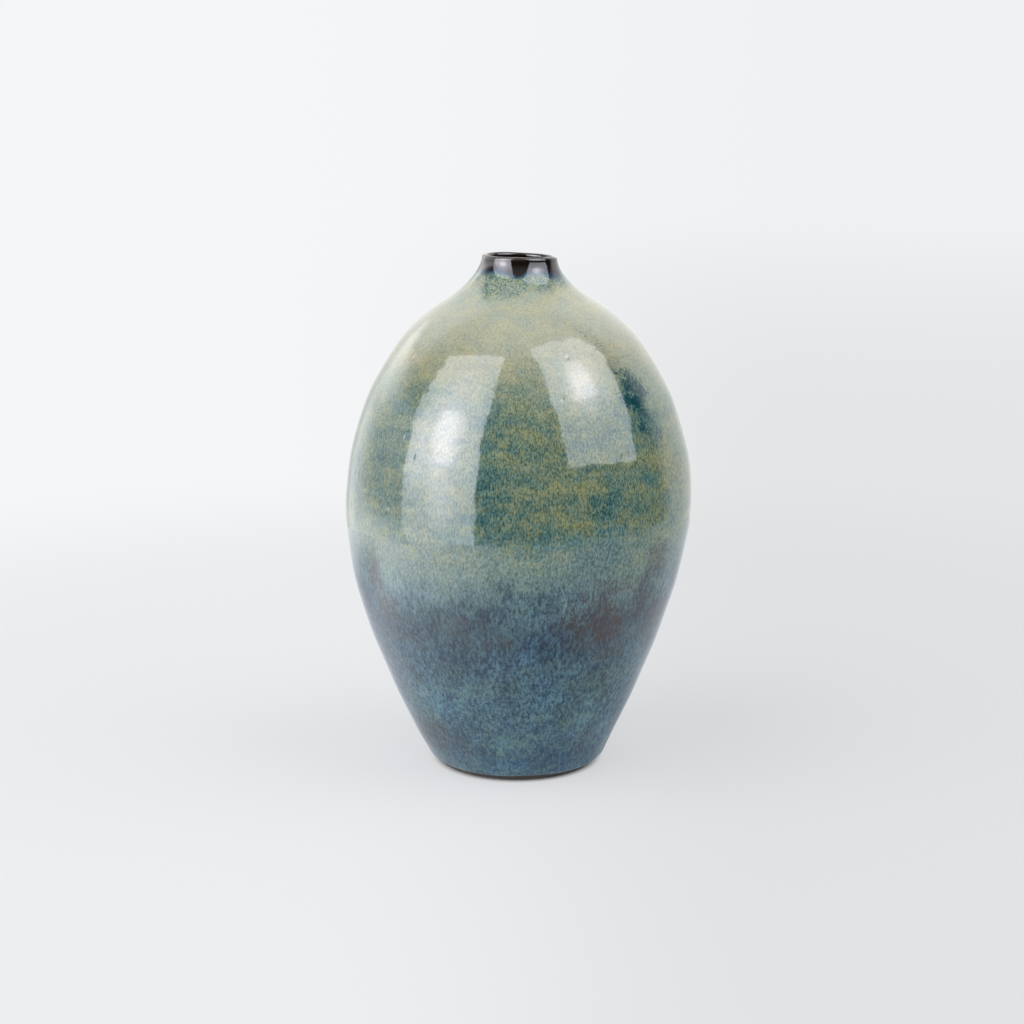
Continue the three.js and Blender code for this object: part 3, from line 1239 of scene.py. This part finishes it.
def fill_lamp(name, place, size, power):
    """A softbox's light on matt surfaces, from further off so that it falls evenly."""
    lamp = bpy.data.lights.new(name, "AREA")
    lamp.shape = "RECTANGLE"
    lamp.size = size[0] * FILL_REACH
    lamp.size_y = size[1] * FILL_REACH
    lamp.energy = power
    lamp.color = FILL_COLOUR
    thing = add_to_scene(name, lamp)
    thing.location = Vector(place) * FILL_REACH
    thing.rotation_euler = (-Vector(place)).to_track_quat("-Z", "Y").to_euler()
    thing.visible_glossy = False


def studio_lights():
    left_across = LEFT_NORMAL.cross(Vector((0, 0, 1))).normalized()
    soft_panel(
        "left_softbox",
        LEFT_PANEL,
        left_across,
        left_across.cross(LEFT_NORMAL),
        LEFT_SIZE,
        LEFT_CORNERS,
        LEFT_GLOW,
        LEFT_SPOTS,
    )
    soft_panel(
        "right_softbox",
        RIGHT_PANEL,
        RIGHT_ACROSS,
        RIGHT_UP,
        RIGHT_SIZE,
        RIGHT_CORNERS,
        RIGHT_GLOW,
        RIGHT_SPOTS,
        RIGHT_SEAM,
    )
    fill_lamp("left_fill", LEFT_PANEL, LEFT_SIZE, LEFT_POWER)
    fill_lamp("right_fill", RIGHT_PANEL, RIGHT_SIZE, RIGHT_POWER)


LENS_MM = 73.4
SENSOR_WIDTH_MM = 36
CAMERA_PLACE = (-0.002, -0.8, 0.277)
CAMERA_DIP_DEG = 12.49  # below level


def studio_camera():
    lens = bpy.data.cameras.new("camera")
    lens.sensor_width = SENSOR_WIDTH_MM
    lens.lens = LENS_MM
    camera = add_to_scene("camera", lens)
    camera.location = CAMERA_PLACE
    camera.rotation_euler = (math.radians(90 - CAMERA_DIP_DEG), 0, 0)
    bpy.context.scene.camera = camera


def finish_piece(piece, node, material):
    """Hangs a piece on the frame in place of its plain node, with its looks."""
    piece.data.materials.append(material)
    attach(piece, "root")
    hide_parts(node)


studio_camera()
studio_air()
studio_floor()
studio_lights()
bpy.context.scene.view_settings.view_transform = "Standard"

finish_piece(stoneware(), "stoneware_body", clay_material())
finish_piece(lower_blue_glaze(), "lower_blue_glaze", glaze("blue_glaze"))
finish_piece(upper_rutile_glaze(), "upper_rutile_glaze", glaze("rutile_glaze"))
finish_piece(dark_rim_glaze(), "dark_rim_glaze", glaze("iron_glaze"))
finish_piece(inside_liner_glaze(), "inside_liner_glaze", liner_material())
